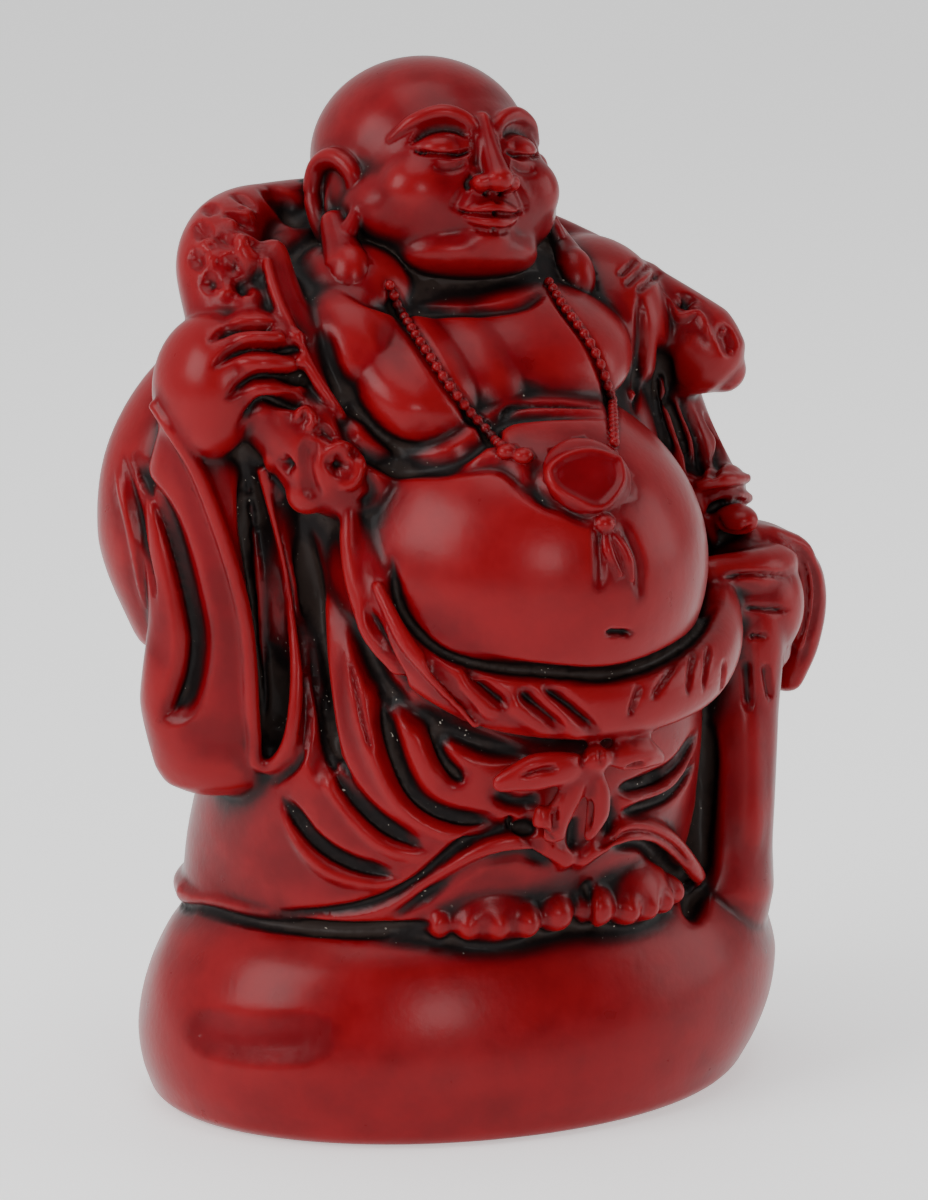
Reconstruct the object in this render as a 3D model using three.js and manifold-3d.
// A small cast resin figurine of a bald, big-bellied monk who stands on his sack, with a branch across
// his shoulders. It is one casting with a flat underside.
// Millimetres. +Z is up, he faces -Y, and +X is his left. The origin is the middle of the flat underside.
import * as THREE from 'three';
import { mergeVertices } from 'three/addons/utils/BufferGeometryUtils.js';
import Module from 'manifold-3d';

const wasm = await Module();
wasm.setup();

// Driving dimensions
const SACK_HALF_WIDTH = 41.6;
const SACK_HALF_DEPTH = 32.4;
const SACK_TOP = 27.4;
const SACK_LEAN = 0.16;
const SACK_WIDEST = 13;
const SKIRT_HALF_WIDTH = 31.6;
const SKIRT_HALF_DEPTH = 24.5;
const SKIRT_MIDDLE = [0.6, 3];
const HEM_HEIGHT = 25.6;
const HEM_STEPS = 9;
const WAIST_HEIGHT = 56;
const BELLY_CENTRE = [0, -13, 68.5];
const BELLY_RADII = [24, 26, 22];
const HEAD_CENTRE = [0, 2.5, 113.8];
const HEAD_TILT = -19;
const HEAD_ROLL = 5;
const HEAD_HALF_HEIGHT = 14;
const HEAD_HALF_WIDTH = 14.6;
const FEET_MIDDLE = 1.6;
const TOE_PITCH = 2.8;
const TOE_HEIGHT = 27;
const BEAD_RADIUS = 1;
const BEADS_A_STRAND = 15;
const GROOVE_RADIUS = 1;
const FOLD_DEPTH = 0.9;
const MOST_TRIANGLES = 9600;
const SLIMMEST = 0.04;
const SHORTEST = 0.06;
const MOST_TURN = Math.PI / 3;
const FIRST_STRAY = 1e-4;
const STRAY_GROWTH = 1.35;

// Turns a closed geometry into a solid that can be joined and cut.
function solid(geometry) {
  geometry.deleteAttribute('normal');
  geometry.deleteAttribute('uv');
  const merged = mergeVertices(geometry, 1e-4);
  return new wasm.Manifold(new wasm.Mesh({
    numProp: 3,
    vertProperties: new Float32Array(merged.attributes.position.array),
    triVerts: new Uint32Array(merged.index.array),
  }));
}

function surface(body) {
  const { vertProperties, triVerts } = body.getMesh();
  const geometry = new THREE.BufferGeometry();
  geometry.setAttribute('position', new THREE.BufferAttribute(new Float32Array(vertProperties), 3));
  geometry.setIndex(new THREE.BufferAttribute(new Uint32Array(triVerts), 1));
  return geometry;
}

// One closed geometry from several that overlap.
function join(...pieces) {
  return surface(pieces.flat(Infinity).map(solid).reduce((whole, piece) => whole.add(piece)));
}

function cut(piece, ...tools) {
  return surface(tools.flat(Infinity).map(solid).reduce((rest, tool) => rest.subtract(tool), solid(piece)));
}

// Moves every vertex of a geometry by a function of its place.
function reshape(geometry, move) {
  const places = geometry.attributes.position;
  const place = new THREE.Vector3();
  for (let i = 0; i < places.count; i += 1) {
    place.fromBufferAttribute(places, i);
    move(place);
    places.setXYZ(i, place.x, place.y, place.z);
  }
  return geometry;
}

// An ellipsoid at a place, with its three radii and its turn in degrees about X, Y and Z.
function ball(centre, radii, { turn = [0, 0, 0], around = 14, rings = 9 } = {}) {
  const geometry = new THREE.SphereGeometry(1, around, rings);
  geometry.rotateX(Math.PI / 2);
  geometry.scale(...radii);
  geometry.applyMatrix4(new THREE.Matrix4().makeRotationFromEuler(
    new THREE.Euler(...turn.map(THREE.MathUtils.degToRad)),
  ));
  return geometry.translate(...centre);
}

// A value between the numbers of a list, as far along it as t says.
function between(list, t) {
  const step = t * (list.length - 1);
  const low = Math.min(Math.floor(step), list.length - 2);
  return THREE.MathUtils.lerp(list[low], list[low + 1], step - low);
}

// A round-ended rope along a smooth path. The half widths lie across the path: wide ones at right angles
// to the lift direction, high ones along it.
function sweep(path, wide, { high = wide, lift = [0, 0, 1], around = 8, along = 12, blunt = 0.8 } = {}) {
  const places = path.map((place) => new THREE.Vector3(...place));
  const curve = new THREE.CatmullRomCurve3(places, false, 'centripetal');
  const up = new THREE.Vector3(...lift);
  const geometry = new THREE.SphereGeometry(1, around, along);
  const last = along - 2;
  return reshape(geometry, (place) => {
    const ring = Math.round(Math.acos(THREE.MathUtils.clamp(place.y, -1, 1)) / Math.PI * along);
    const turn = Math.atan2(place.z, place.x);
    const t = THREE.MathUtils.clamp((ring - 2) / (last - 2), 0, 1);
    const past = ring < 2 ? ring - 2 : Math.max(ring - last, 0);
    const taper = Math.cos(past * Math.PI / 4);
    const ahead = curve.getTangent(t);
    const side = new THREE.Vector3().crossVectors(ahead, up).normalize();
    const normal = new THREE.Vector3().crossVectors(side, ahead);
    const halfWide = between(wide, t);
    const halfHigh = between(high, t);
    place.copy(curve.getPoint(t));
    place.addScaledVector(ahead, Math.sin(past * Math.PI / 4) * Math.min(halfWide, halfHigh) * blunt);
    place.addScaledVector(side, Math.abs(past) === 2 ? 0 : Math.cos(turn) * halfWide * taper);
    place.addScaledVector(normal, Math.abs(past) === 2 ? 0 : -Math.sin(turn) * halfHigh * taper);
  });
}

// A body through level ovals, each [height, half width, half depth, middle x, middle y].
function loft(ovals, around = 40) {
  const geometry = new THREE.CylinderGeometry(1, 1, ovals.length - 1, around, ovals.length - 1);
  return reshape(geometry, (place) => {
    const level = Math.round(place.y + (ovals.length - 1) / 2);
    const [height, halfWidth, halfDepth, middleX, middleY] = ovals[level];
    place.set(middleX + place.x * halfWidth, middleY - place.z * halfDepth, height);
  });
}

// The outer surface alone, without the tiny pockets that joining can leave between pieces.
function outerShell(geometry) {
  const index = [...geometry.index.array];
  const leaders = Array.from({ length: geometry.attributes.position.count }, (_, corner) => corner);
  const leaderOf = (corner) => {
    let top = corner;
    while (leaders[top] !== top) {
      top = leaders[top];
    }
    leaders[corner] = top;
    return top;
  };
  index.forEach((corner, i) => {
    const neighbour = index[i % 3 === 2 ? i - 2 : i + 1];
    leaders[leaderOf(corner)] = leaderOf(neighbour);
  });
  const sizes = new Map();
  for (const corner of index) {
    const leader = leaderOf(corner);
    sizes.set(leader, (sizes.get(leader) ?? 0) + 1);
  }
  const [outermost] = [...sizes].sort((one, other) => other[1] - one[1])[0];
  geometry.setIndex(index.filter((corner) => leaderOf(corner) === outermost));
  return geometry;
}

// A mesh whose edges can be folded up. Each corner knows its triangles and the planes it has lain on.
class FoldingMesh {
  constructor(geometry) {
    const { position } = geometry.attributes;
    const numbers = Array.from({ length: position.count }, (_, corner) => corner);
    this.places = numbers.map((corner) => new THREE.Vector3().fromBufferAttribute(position, corner));
    this.fans = numbers.map(() => new Set());
    this.triangles = [];
    for (let i = 0; i < geometry.index.count; i += 3) {
      const triangle = [0, 1, 2].map((k) => geometry.index.getX(i + k));
      triangle.forEach((corner) => this.fans[corner].add(triangle));
      this.triangles.push(triangle);
    }
    this.count = this.triangles.length;
    this.planes = numbers.map((corner) => this.planeSum(corner));
  }

  // The sixteen terms of the squared distance to the planes of a corner's triangles, by their area.
  planeSum(corner) {
    const sum = new Array(16).fill(0);
    for (const triangle of this.fans[corner]) {
      const normal = crossOf(triangle.map((k) => this.places[k]));
      const area = normal.length() / 2;
      normal.normalize();
      const plane = [normal.x, normal.y, normal.z, -normal.dot(this.places[corner])];
      plane.forEach((p, row) => plane.forEach((q, column) => {
        sum[row * 4 + column] += p * q * area;
      }));
    }
    return sum;
  }

  ringOf(corner) {
    const ring = new Set([...this.fans[corner]].flat());
    ring.delete(corner);
    return ring;
  }

  // Whether a corner can move without turning a triangle over or leaving it too slim.
  canMove(corner, target, partner) {
    return [...this.fans[corner]].every((triangle) => {
      if (triangle.includes(partner)) {
        return true;
      }
      const before = crossOf(triangle.map((k) => this.places[k]));
      const moved = triangle.map((k) => (k === corner ? target : this.places[k]));
      const after = crossOf(moved);
      const longest = Math.max(...moved.map((place, k) => place.distanceTo(moved[(k + 1) % 3])));
      return after.length() > longest * SLIMMEST && before.angleTo(after) < MOST_TURN;
    });
  }

  // Folds an edge into one end or its middle, where that strays less from the planes than the limit.
  fold(kept, lost, limit) {
    const planes = this.planes[kept].map((term, k) => term + this.planes[lost][k]);
    const ends = [this.places[kept], this.places[lost]];
    const [target] = [...ends, ends[0].clone().lerp(ends[1], 0.5)]
      .sort((one, other) => strayed(one, planes) - strayed(other, planes));
    if (strayed(target, planes) > limit) {
      return;
    }
    const ring = this.ringOf(lost);
    const shared = [...this.ringOf(kept)].filter((corner) => ring.has(corner));
    const isSpeck = ends[0].distanceTo(ends[1]) < SHORTEST;
    const movesWell = this.canMove(kept, target, lost) && this.canMove(lost, target, kept);
    if (shared.length !== 2 || !(isSpeck || movesWell)) {
      return;
    }
    this.places[kept] = target.clone();
    this.planes[kept] = planes;
    for (const triangle of this.fans[lost]) {
      if (triangle.includes(kept)) {
        triangle.forEach((corner) => this.fans[corner].delete(triangle));
        triangle.gone = true;
        this.count -= 1;
      } else {
        triangle[triangle.indexOf(lost)] = kept;
        this.fans[kept].add(triangle);
      }
    }
    this.fans[lost].clear();
  }

  geometry() {
    const corners = this.triangles.filter((triangle) => !triangle.gone).flat();
    return new THREE.BufferGeometry().setFromPoints(corners.map((corner) => this.places[corner]));
  }
}

// The normal of a triangle, as long as twice its area.
function crossOf([a, b, c]) {
  return new THREE.Vector3().subVectors(b, a).cross(new THREE.Vector3().subVectors(c, a));
}

// How far a place strays from summed planes, as a squared distance times area.
function strayed(place, planes) {
  const terms = [place.x, place.y, place.z, 1];
  return planes.reduce((sum, term, k) => sum + term * terms[k >> 2] * terms[k & 3], 0);
}

// Folds up the small triangles that joining leaves, the flattest places first.
function lightened(geometry) {
  const mesh = new FoldingMesh(geometry);
  for (let limit = FIRST_STRAY; mesh.count > MOST_TRIANGLES; limit *= STRAY_GROWTH) {
    for (const triangle of mesh.triangles) {
      for (let k = 0; k < 3 && !triangle.gone && mesh.count > MOST_TRIANGLES; k += 1) {
        mesh.fold(triangle[k], triangle[(k + 1) % 3], limit);
      }
    }
  }
  return mergeVertices(mesh.geometry(), 1e-6);
}

// The same piece on his other side. Its triangles are turned back to face outwards.
function mirrored(piece) {
  const geometry = piece.clone().scale(-1, 1, 1);
  geometry.index.array.reverse();
  return geometry;
}

// The full round sack that he stands on, flat underneath. At his left it leans out towards its neck.
function sack() {
  const outline = [
    [0, 0], [0.89, 0], [0.945, 1], [0.98, 5], [0.99, 9.5], [0.965, 14.5], [0.925, 18.8], [0.87, 22.3],
    [0.8, 24.9], [0.66, 26.6], [0, SACK_TOP],
  ].map(([share, height]) => new THREE.Vector2(share, height));
  const geometry = new THREE.LatheGeometry(outline, 34);
  geometry.rotateX(Math.PI / 2);
  geometry.scale(SACK_HALF_WIDTH, SACK_HALF_DEPTH, 1);
  reshape(geometry, (place) => {
    place.x += Math.max(place.x, 0) / SACK_HALF_WIDTH * SACK_LEAN * (place.z - SACK_WIDEST);
  });
  return geometry.translate(0.7, 0.8, 0);
}

// The gathered neck of the sack, which rises at his left side into his fist.
function sackNeck() {
  return [
    ball([29, -4, 19.6], [13.2, 16, 9.4], { around: 14, rings: 9 }),
    sweep(
      [[28.6, -4, 16], [30.6, -5.4, 24], [32.4, -7.6, 35], [33.8, -10, 47], [35, -12, 57]],
      [16, 15.6, 11.6, 7.8, 6],
      { high: [9, 8, 6.6, 5.4, 5], lift: [1, 0, 0], around: 16, along: 11 },
    ),
    sweep([[36, -20, 24], [35.6, -17.4, 36], [36, -14.6, 51]], [1.4, 1.8, 1.4], { along: 7, around: 6 }),
    sweep([[38.8, -9, 26], [39, -9.4, 36], [38.6, -10.4, 51]], [1.2, 1.6, 1.4], { along: 7, around: 6 }),
    sweep([[38.6, 3, 22], [37.4, 0, 36], [37.4, -5, 50]], [1.2, 1.8, 1.5], { along: 7, around: 6 }),
  ];
}

function skirt() {
  const width = SKIRT_HALF_WIDTH;
  const depth = SKIRT_HALF_DEPTH;
  const [middleX, middleY] = SKIRT_MIDDLE;
  return loft([
    [22, width, depth, middleX, middleY],
    [29, width - 0.4, depth, middleX, middleY - 0.2],
    [35, width - 0.9, depth + 2.3, 0.4, 0],
    [41, width - 1.4, depth + 3.2, 0.2, -2.2],
    [48, width - 1.9, depth + 3.2, 0, -3.4],
    [WAIST_HEIGHT, width - 2.4, depth + 2, 0, -2.6],
    [61, width - 3.2, depth, 0, -0.5],
  ], 30);
}

// The rolled hem lifts in an arch over each foot and runs level round the back.
function hem() {
  const back = Array.from({ length: HEM_STEPS }, (_, step) => {
    const turn = THREE.MathUtils.degToRad(18 + step * 150 / (HEM_STEPS - 1));
    return [
      SKIRT_MIDDLE[0] + Math.cos(turn) * (SKIRT_HALF_WIDTH + 0.2),
      SKIRT_MIDDLE[1] + Math.sin(turn) * (SKIRT_HALF_DEPTH + 0.2),
      HEM_HEIGHT,
    ];
  });
  return [
    sweep(
      [back.at(-1), [-30.8, -2, HEM_HEIGHT], [-27, -10, 26.4], [-21.5, -16.2, 27.6],
        [-18.2, -20.1, 30], [-15.4, -24.2, 33.7], [-10.5, -28, 36.8], [-4.5, -29, 35.6], [-0.8, -28.3, 33.2]],
      [1.3, 1.6, 1.9, 1.9, 1.5],
      { around: 7, along: 20 },
    ),
    sweep(
      [[1.2, -28.3, 33.4], [4.5, -29, 35.9], [9, -28.3, 36.9], [14.2, -25.6, 35.8],
        [20.5, -20.8, 31.2], [24.6, -17, 26.8], [28, -12, HEM_HEIGHT]],
      [1.4, 1.8, 1.8, 1.5, 1.3],
      { around: 7, along: 16 },
    ),
    sweep(back, [1.2, 1.4, 1.3], { around: 6, along: 16 }),
  ];
}

// The path of a fold, set into the body that it lies on.
function sunk(path) {
  return path.map(([x, y, z]) => {
    const reach = Math.hypot(x, y);
    return [x * (1 - FOLD_DEPTH / reach), y * (1 - FOLD_DEPTH / reach), z];
  });
}

// Each drape of the skirt ends in a raised edge that swings down from his side towards his feet.
function drapes() {
  const edges = [
    [[-28, -13, 53], [-26.8, -15.8, 47], [-24.9, -19.2, 42.3], [-21.3, -22, 37.8], [-16.4, -24.2, 35.2]],
    [[-23.8, -17, 58], [-23.8, -20.4, 50.5], [-21.9, -23, 44.1], [-18, -25.4, 39.9], [-12, -27.8, 38.2]],
    [[-30, -9, 43], [-28.6, -12, 37.6], [-25.8, -14.8, 33.6], [-21.6, -17.6, 31.4], [-17.5, -20.5, 31.6]],
    [[-18.6, -25, 53], [-17, -26.8, 47], [-14.2, -28, 42.8]],
    [[25.5, -19, 44], [20, -23.5, 39.5], [14, -26, 37.6]],
    [[27.5, -15, 37], [22, -21, 34.5], [16, -24.2, 34.2]],
  ];
  return edges.map((path) => sweep(sunk(path), [1, 2.3, 2], { around: 7, along: 9 }));
}

// The hollows that part the drapes.
function drapeGrooves() {
  const paths = [
    [[-27, -14, 56], [-26.6, -17, 49.3], [-24.6, -20.2, 44.2], [-21.3, -22.7, 39.8], [-15.6, -25.6, 37.4]],
    [[-21.2, -21.6, 55.9], [-21, -23.8, 49], [-18.9, -25.6, 43.8], [-14.6, -27.6, 40.8], [-8.5, -29.4, 40.2]],
    [[-29.6, -10.4, 43], [-28, -13.4, 38], [-24.6, -16.8, 34.6], [-18.6, -20.8, 33.2]],
    [[-27.6, -11.6, 29], [-21.2, -17.6, 29.6], [-17.8, -21, 32.4]],
  ];
  return paths.map((path) => sweep(path, [0.5, GROOVE_RADIUS, 0.6], { around: 5, along: 9 }));
}

// Plain folds down the back of the robe.
function backFolds() {
  return [-62, -36, -12, 12, 36, 62].map((degrees, fold) => {
    const turn = THREE.MathUtils.degToRad(degrees);
    const top = fold % 2 ? 78 : 70;
    const place = (height, halfWidth, halfDepth, middle) => [
      Math.sin(turn) * (halfWidth - FOLD_DEPTH), middle + Math.cos(turn) * (halfDepth - FOLD_DEPTH), height,
    ];
    return sweep(
      [
        place(top, 28.6, 22, 2),
        place(58, 28.8, 25, -1),
        place(42, 30.2, 27.7, -2.2),
        place(28, 31.2, 24.5, 2.8),
      ],
      [0.8, 2.4, 3],
      { lift: [0, 1, 0], around: 7, along: 8 },
    );
  });
}

// A bare foot with its five toes, the big one on the inside. The side is -1 for his right foot.
function foot(side) {
  const instep = ball([FEET_MIDDLE + side * 8, -20.5, 28.4], [7.8, 8.6, 5.4], {
    turn: [14, 0, side * 16],
    around: 12,
    rings: 7,
  });
  const toes = [2.4, 2, 1.9, 1.8, 1.7].map((radius, toe) => ball(
    [FEET_MIDDLE + side * (2.6 + toe * TOE_PITCH), 0.2 * toe * toe - 27.4, TOE_HEIGHT],
    [radius * 0.82, radius * 1.5, radius],
    { turn: [-14, 0, side * toe * 7], around: 7, rings: 5 },
  ));
  return [instep, toes];
}

// The robe over his back and shoulders, bunched up under the branch.
function torso() {
  return [
    loft([
      [WAIST_HEIGHT - 2, 29, 24, 0, 0],
      [66, 29, 23, 0, 1],
      [76, 28.5, 22, 0, 2],
      [86, 27.5, 19.5, 0, 4],
      [94, 25, 16.5, 0, 4.5],
      [100.5, 21, 13, 0, 5.5],
      [105.5, 14.5, 9, 0, 7],
    ], 26),
    ball([-20.6, 3, 93.6], [8.4, 12.6, 10.8], { around: 12, rings: 8 }),
    ball([20.5, 2, 93.6], [9, 13, 10.8], { around: 12, rings: 8 }),
    sweep(
      [[-25, 4.6, 99], [-21.6, 7, 102.4], [-12, 9.4, 103.4], [0, 10, 102.4], [12, 8, 99.6], [20, 4.6, 96.6]],
      [5, 5.4, 5.6, 5.6, 5.2, 4.6],
      { around: 9, along: 13 },
    ),
  ];
}

function bellyAndChest() {
  return [
    ball(BELLY_CENTRE, BELLY_RADII, { around: 26, rings: 15 }),
    ball([0, -3, 96], [20, 16.5, 9], { around: 16, rings: 9 }),
    ball([-10, -11.5, 92], [11.6, 12.4, 9.8], { turn: [0, 16, 0], around: 14, rings: 9 }),
    ball([8.5, -9.6, 94.8], [13.5, 14.4, 8.6], { turn: [0, -6, 0], around: 16, rings: 9 }),
  ];
}

// The twisted cloth round his waist, which starts at the edge of the robe at his right side.
function waistRoll() {
  const roll = sweep(
    [[-22, -18, 75], [-22.6, -21.8, 67], [-20.2, -26, 60.4], [-14.4, -30.4, 55.8], [-7, -33.2, 53.8],
      [1, -34.2, 53.2], [9, -33.2, 53.2], [17.5, -29, 53.6], [25, -22, 54.2], [30, -13, 56.4], [31, -5, 60]],
    [1.4, 2, 2.8, 3, 3, 3, 3, 3, 2.8, 2.2],
    { high: [1.4, 2.4, 4, 5, 5.2, 5.2, 5.2, 5, 4.4, 2.6], around: 9, along: 20 },
  );
  const twists = [
    [[-20.6, -26.6, 64.4], [-18.4, -30.2, 59], [-14.6, -32.6, 53.6]],
    [[-15.6, -31, 60.6], [-12, -34.6, 57], [-8.4, -35.4, 51.8]],
    [[-9.6, -34.6, 58.4], [-5.6, -37, 55.4], [-1.6, -36.6, 50.4]],
    [[-4.6, -35.6, 58.4], [0, -37.6, 55], [3.6, -36.4, 50.2]],
    [[27, -23, 58.6], [25.8, -26, 54.4], [22.6, -27.4, 50.8]],
  ];
  return cut(roll, twists.map((path) => sweep(path, [0.5, 0.9, 0.5], { around: 5, along: 7 })));
}

// The edges of the open robe, beside his chest and down to the waist.
function robeEdges() {
  return [
    sweep([[-25, 0, 105], [-25.4, -6.4, 98], [-23.4, -12.4, 89.6], [-21.6, -15.6, 82]], [0.9, 1.6, 1.3],
      { lift: [-0.7, -0.7, 0], around: 6, along: 9 }),
    sweep([[-23.6, -17, 79], [-24.6, -19, 72], [-23.8, -22.4, 64.6], [-19.6, -26, 58.6], [-14, -28.8, 54]],
      [1.2, 1.6, 1.5], { lift: [-0.7, -0.7, 0], around: 6, along: 10 }),
    sweep([[19, -6, 103], [21.6, -12, 94], [21.4, -16, 83], [24, -18, 74], [28, -15.4, 63]],
      [1, 1.7, 1.6, 1.2], { lift: [0.5, -0.8, 0], around: 6, along: 11 }),
  ];
}

// The bow under the waist roll, with two open loops and three tails.
function bow() {
  const loop = (side, reach) => sweep(
    [[side * 1, -33, 47.2], [side * reach * 0.5, -33.6, 49.2], [side * reach * 0.92, -32.2, 47.4],
      [side * reach * 0.9, -32, 44.2], [side * reach * 0.45, -33, 43.4], [side * 1, -33, 46]],
    [0.9, 1.1, 1.2, 1.1, 0.9],
    { lift: [0, 1, 0], around: 6, along: 13 },
  );
  const tail = (path) => sweep(
    path,
    [0.9, 1.9, 0.7],
    { high: [0.9, 1.1, 0.7], lift: [0, 1, 0], around: 6, along: 8 },
  );
  return [
    ball([0, -33.6, 47], [2.1, 1.7, 1.9], { around: 7, rings: 5 }),
    loop(-1, 11.5),
    loop(1, 9),
    tail([[-0.8, -33.4, 46], [-3.4, -33, 42.4], [-2.4, -32.6, 37.8]]),
    tail([[0.6, -33.4, 46], [1.6, -33, 42.4], [1, -32.6, 38]]),
    tail([[-2.6, -32.6, 42.6], [-6, -32, 40.6], [-4.6, -31.6, 37.4]]),
  ];
}

// A string of beads is one sweep that swells at each bead.
function strand(path) {
  const swell = Array.from({ length: 2 * BEADS_A_STRAND + 1 }, (_, i) => (i % 2 ? 1 : 0.55) * BEAD_RADIUS);
  return sweep(path, swell, { lift: [0, -1, 0], around: 5, along: 2 * BEADS_A_STRAND + 4 });
}

function necklace() {
  return [
    strand([[-14.4, -11, 103], [-15.6, -16, 100.6], [-15.4, -21.2, 96.6], [-12.8, -24, 91.2],
      [-9.4, -26.2, 87], [-8, -29, 84.8]]),
    strand([[3.4, -18, 103], [5.2, -22, 99.6], [7, -24.6, 95.4], [8.6, -23.8, 90.4],
      [9, -23.6, 87], [7, -29.4, 84.4]]),
    ball([-6.2, -30, 84.4], [1.6, 1.3, 1.4], { around: 6, rings: 5 }),
    ball([0.2, -32.8, 81.8], [6, 1.9, 4.8], { turn: [-42, 0, 0], around: 12, rings: 7 }),
    ball([0, -37.4, 76.4], [1.5, 1.4, 1.3], { around: 6, rings: 5 }),
    [-1.4, 1.5].map((spread) => sweep(
      [[0, -37.6, 76], [spread, -38.8, 72.6], [spread * 0.6, -39.2, 68.3]],
      [0.7, 1, 0.6],
      { around: 5, along: 7 },
    )),
  ];
}

// The head is made upright around its own middle, then tilted back and set on the shoulders.
function head() {
  const half = HEAD_HALF_HEIGHT;
  const width = HEAD_HALF_WIDTH;
  const skull = [
    ball([-0.5, 3.4, 2], [width - 1.2, 13.8, half - 2], { around: 20, rings: 13 }),
    ball([0, -1, -1], [width - 2.2, 11.4, 10.6], { around: 18, rings: 10 }),
    ball([0, -0.6, -5.2], [width, 12.8, half - 5.2], { around: 20, rings: 10 }),
  ];
  const side = [
    ball([6.6, -7.6, -5], [5.6, 5, 4.6], { around: 10, rings: 7 }),
    ball([5.2, -10.8, 0.2], [2.9, 1.6, 1.5], { around: 8, rings: 6 }),
    sweep([[1.5, -11.7, 3.2], [5, -10.9, 4.4], [8.8, -8.2, 3.4]], [0.7, 1, 0.6], { along: 7, around: 5 }),
    ball([1.7, -13.6, -4.9], [1.3, 1.5, 1.2], { around: 6, rings: 5 }),
    ...ear(),
  ];
  const lip = (reach, cornerHeight, height) => sweep(
    [[-reach, -12.6, cornerHeight], [0, -13.8, height], [reach, -12.6, cornerHeight]],
    [0.6, 1.1, 0.6],
    { along: 7, around: 5 },
  );
  const middle = [
    sweep([[0, -11.4, 3.4], [0, -12.8, -1], [0, -14.4, -4.4]], [1, 1.3, 1.7], { along: 7, around: 6 }),
    lip(3.4, -8.2, -7.9),
    lip(2.6, -9.3, -9.7),
    ball([0, -11, -11.2], [3.4, 2.4, 2.2], { around: 8, rings: 6 }),
  ];
  const place = new THREE.Matrix4().makeRotationFromEuler(new THREE.Euler(
    THREE.MathUtils.degToRad(HEAD_TILT),
    THREE.MathUtils.degToRad(HEAD_ROLL),
    0,
  ));
  place.setPosition(...HEAD_CENTRE);
  return join(skull, side, side.map(mirrored), middle).applyMatrix4(place);
}

// His left ear, with a rim that curls over and a long round lobe.
function ear() {
  return [
    sweep(
      [[13.2, -0.4, -1], [14, 2, 2], [14.8, 5.2, 1], [15.2, 4.6, -3], [15.4, 1.4, -8]],
      [1.1, 1.3, 1.2, 1.2, 1.4],
      { along: 11, around: 6, lift: [1, 0, 0] },
    ),
    ball([13.2, 2.6, -2.6], [1.8, 2.8, 5], { around: 8, rings: 6 }),
    ball([15.4, -3.4, -10.4], [3.2, 3.4, 4.8], { turn: [-15, 0, 0], around: 10, rings: 7 }),
  ];
}

// A raised ring round a hollow, as where a twig broke off the branch.
function knothole(centre, turn, radius) {
  const ring = new THREE.TorusGeometry(radius, radius * 0.34, 5, 9);
  ring.applyMatrix4(new THREE.Matrix4().makeRotationFromEuler(
    new THREE.Euler(...turn.map(THREE.MathUtils.degToRad)),
  ));
  return ring.translate(...centre);
}

// The gnarled branch across the back of his neck, from his right hand to his left shoulder.
function branch() {
  const wood = [
    sweep(
      [[-31.6, -4, 93], [-31.4, 0.6, 99.4], [-29.8, 5.6, 105.6], [-24, 10.6, 108], [-15, 13, 108.4],
        [0, 14, 107.4], [13, 11.6, 104.6], [21, 7, 101.4], [25.6, 1, 98.4]],
      [5.4, 6, 6, 5, 4, 4, 4.2, 4, 3.6, 3.4],
      { around: 9, along: 20 },
    ),
    sweep([[-30.5, -6, 90], [-26.6, -10.4, 85.8], [-22, -13, 81.8], [-19.4, -14.4, 80]],
      [4.6, 5.2, 5.9, 5.2], { around: 9, along: 10 }),
    sweep([[25, 2, 98.8], [28, -2.4, 95], [31.4, -5.6, 91], [32.4, -7, 89.4]], [3.4, 4.6, 5.8, 5.4],
      { around: 9, along: 9 }),
  ];
  const bumps = [
    [[-33, 0.6, 101], [3.2, 3.4, 4]], [[-31.6, 6, 106.8], [3.4, 3.6, 3.2]], [[-26, 8, 109.4], [4, 3.6, 2.6]],
    [[-30, -0.6, 106.2], [3, 3, 3.6]], [[-26.6, 2, 103.4], [3, 3, 3]], [[-18.4, -16.4, 78.6], [2.6, 2.6, 3]],
    [[-24.4, -14, 87], [2.8, 2.2, 2]], [[-26.6, -14.6, 78.6], [3, 2.8, 3]], [[34.6, -7, 87.6], [3.2, 3.2, 3]],
  ].map(([centre, radii]) => ball(centre, radii, { around: 7, rings: 5 }));
  const rings = [
    knothole([-23.2, -18.2, 82.6], [78, 0, -30], 2.3),
    knothole([26.2, 0, 97.8], [50, 40, 0], 3.7),
    knothole([28.4, -7.8, 94.6], [60, 10, 0], 1.5),
  ];
  const hollows = [
    ball([-23.4, -19.4, 82.8], [1.7, 1.7, 1.7], { around: 7, rings: 5 }),
    ball([-29.4, -14.6, 82], [1.2, 1.2, 1.4], { around: 6, rings: 5 }),
    ball([33.8, -13, 90], [1.6, 2, 2.6], { around: 7, rings: 5 }),
    ball([-34.4, -3, 105], [1.3, 1.6, 1.6], { around: 6, rings: 5 }),
  ];
  return cut(join(wood, bumps, rings), hollows);
}

// His right hand closes over the front of the branch at shoulder height.
function rightHand() {
  const fingers = [
    [[-38, -2.6, 96], [-33.6, -8, 98.6], [-28.6, -9.2, 98]],
    [[-38.8, -5, 93.4], [-33.8, -10.2, 95.8], [-28, -11, 95.2]],
    [[-38.8, -6.4, 90.4], [-33.8, -11.2, 92.6], [-27.8, -12, 92.2]],
    [[-38, -7, 87.4], [-33.2, -11.6, 89.4], [-28, -12.2, 89.2]],
  ];
  return [
    ball([-36.2, -3.4, 90.4], [6, 7.2, 8], { turn: [0, 12, 0], around: 12, rings: 8 }),
    fingers.map((path) => sweep(path, [1.7, 1.75, 1.4], { around: 6, along: 8 })),
  ];
}

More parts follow.
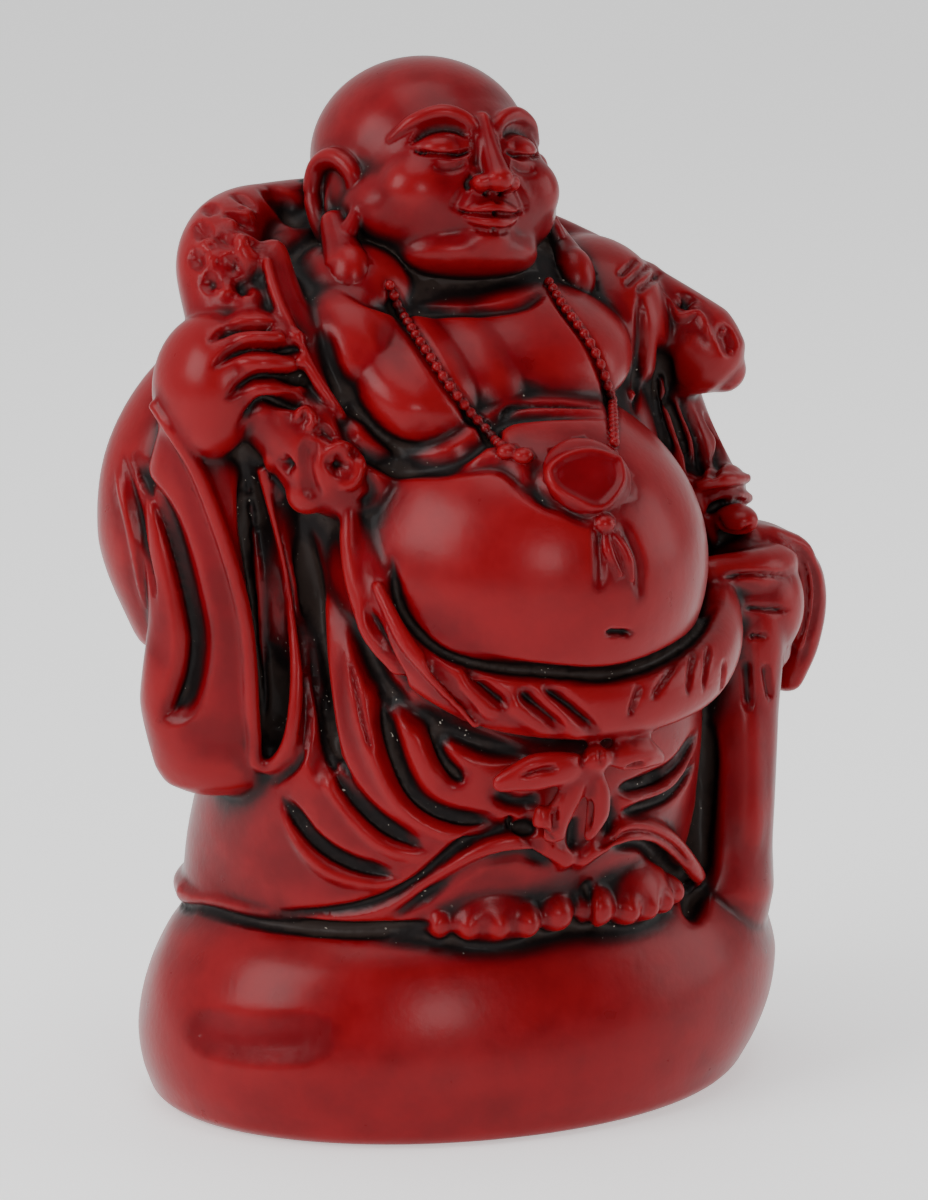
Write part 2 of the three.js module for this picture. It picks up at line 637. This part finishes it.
// The wide sleeve hangs from his raised right arm as a flat bag with a long open mouth.
function rightSleeve() {
  const out = [-0.66, -0.75, 0];
  const cloth = [
    sweep(
      [[-22, 8, 88], [-29, 8.4, 87], [-35.2, 8.4, 80], [-37, 8, 70.6], [-35.4, 7, 60]],
      [8.6, 8.6, 8.2, 7.4, 5],
      { high: [8, 7, 6, 5.4, 3.6], lift: [1, 0, 0], around: 12, along: 11 },
    ),
    sweep(
      [[-37, -2.6, 88], [-36.4, -2, 80], [-35, -2, 72], [-33.8, -2.4, 62], [-33.8, -1.4, 52],
        [-33.8, -1.4, 45.6]],
      [3.4, 6, 7.6, 8.6, 9.8, 8.6],
      { high: [3, 4, 4.6, 5, 5.4, 5], lift: out, around: 16, along: 13 },
    ),
  ];
  const mouth = sweep(
    [[-32.8, -7.4, 80], [-31, -7.4, 75], [-29.6, -7.2, 65.3], [-29.4, -7, 55.6], [-29.8, -7, 47.6]],
    [0.8, 1.5, 1.9, 1.9, 1.6],
    { high: [2, 4, 4, 4, 3], lift: out, around: 7, along: 9 },
  );
  const lips = [
    [[-40.4, -5.6, 86.6], [-37, -7, 78.6], [-33.6, -7.6, 67], [-32.4, -7.6, 56], [-31.8, -7.2, 46.4]],
    [[-33.4, -8.4, 82], [-29.8, -8.2, 74], [-27, -7.2, 62], [-26.8, -6.6, 52], [-29.4, -6.6, 44.6]],
    [[-42, 2, 84], [-41.8, 1.6, 74], [-40.6, 1, 64]],
  ].map((path) => sweep(path, [0.9, 1.3, 1.2], { around: 6, along: 9 }));
  const grooves = [
    [[-41, -2, 82], [-40, -4, 73], [-38.4, -5.4, 63], [-38.8, -4.6, 53]],
  ].map((path) => sweep(path, [0.5, GROOVE_RADIUS * 1.4, 0.6], { around: 5, along: 8 }));
  return [cut(join(cloth), mouth, grooves), lips];
}

// His left arm comes down in its sleeve to the fist that holds the sack.
function leftArm() {
  const folds = [
    [[24, -6.8, 91], [26.6, -7, 83], [29.6, -8.2, 75.6]],
    [[28.4, -4.6, 91], [31, -5.4, 84], [33.4, -7.4, 76]],
    [[30.4, -1, 90], [33.6, -2, 83], [36.4, -4.6, 76]],
  ];
  return [
    sweep([[23, 2, 91.6], [27, 2.4, 86], [31, 1, 77.6], [34.2, -3.6, 69.6]], [8.6, 8, 7, 6],
      { around: 12, along: 10 }),
    folds.map((path) => sweep(path, [0.9, 1.6, 1.1], { around: 6, along: 7 })),
    sweep([[28, -9.4, 73], [32, -10.6, 75.4], [36.6, -8, 74.4], [39.4, -3, 71]], [1.4, 2, 1.6],
      { around: 6, along: 9 }),
    sweep([[28, -11, 69], [29.4, -12.6, 72], [33.4, -13.4, 73], [37.4, -11, 71.6], [40.4, -6, 68.4]],
      [1, 1.4, 1.2], { around: 6, along: 9 }),
  ];
}

// His left fist, with its fingers one below the other, and the cloth of the sack spread behind it.
function leftFist() {
  const fingers = [[63.6, 2.8], [59, 2.4], [55.2, 2], [52.2, 1.6]].map(([height, radius]) => sweep(
    [[43.4, -5, height], [41, -12, height], [35, -15.6, height], [28, -15.8, height + 0.4]],
    [radius, radius, radius, radius * 0.8],
    { around: 7, along: 9 },
  ));
  return [
    ball([36.8, -9.8, 58.6], [8, 7.4, 8.4], { around: 12, rings: 8 }),
    fingers,
    ball([33.6, -12.6, 69.6], [3.3, 3, 2.5], { around: 8, rings: 6 }),
    sweep(
      [[37, -8, 68], [43.4, -5.6, 65.8], [48, -4, 61.4], [49.2, -3.6, 56.4], [47.6, -4.4, 50.6],
        [45.8, -5, 46.4]],
      [1.6, 2, 2.4, 2.4, 2.6, 2],
      { high: [4, 5.4, 5.4, 4.6, 4, 3], lift: [0, 1, 0], around: 8, along: 12 },
    ),
    sweep([[40, -10, 68], [46.4, -8.6, 64], [47.6, -7.4, 57.4], [46.4, -7.6, 51.6]], [1.4, 1.8, 1.6, 1.2],
      { around: 6, along: 9 }),
  ];
}

// The casting: every form runs into the next, so all are joined into one body.
function figurine() {
  const whole = join(
    sack(), sackNeck(), skirt(), drapes(), backFolds(), hem(), foot(-1), foot(1), torso(), bellyAndChest(),
    waistRoll(), robeEdges(), bow(), necklace(), head(), branch(), rightSleeve(), rightHand(), leftArm(),
    leftFist(),
  );
  const navel = ball([0.3, -38.7, 63.7], [1.8, 0.9, 0.5], { around: 6, rings: 5 });
  return lightened(outerShell(cut(whole, drapeGrooves(), navel)));
}

const resin = new THREE.MeshStandardMaterial({ color: 0x9a1414, roughness: 0.32, metalness: 0 });
const statue = new THREE.Mesh(figurine(), resin);
statue.name = 'buddha_figurine';

const model = new THREE.Group();
model.add(statue);

export default model;
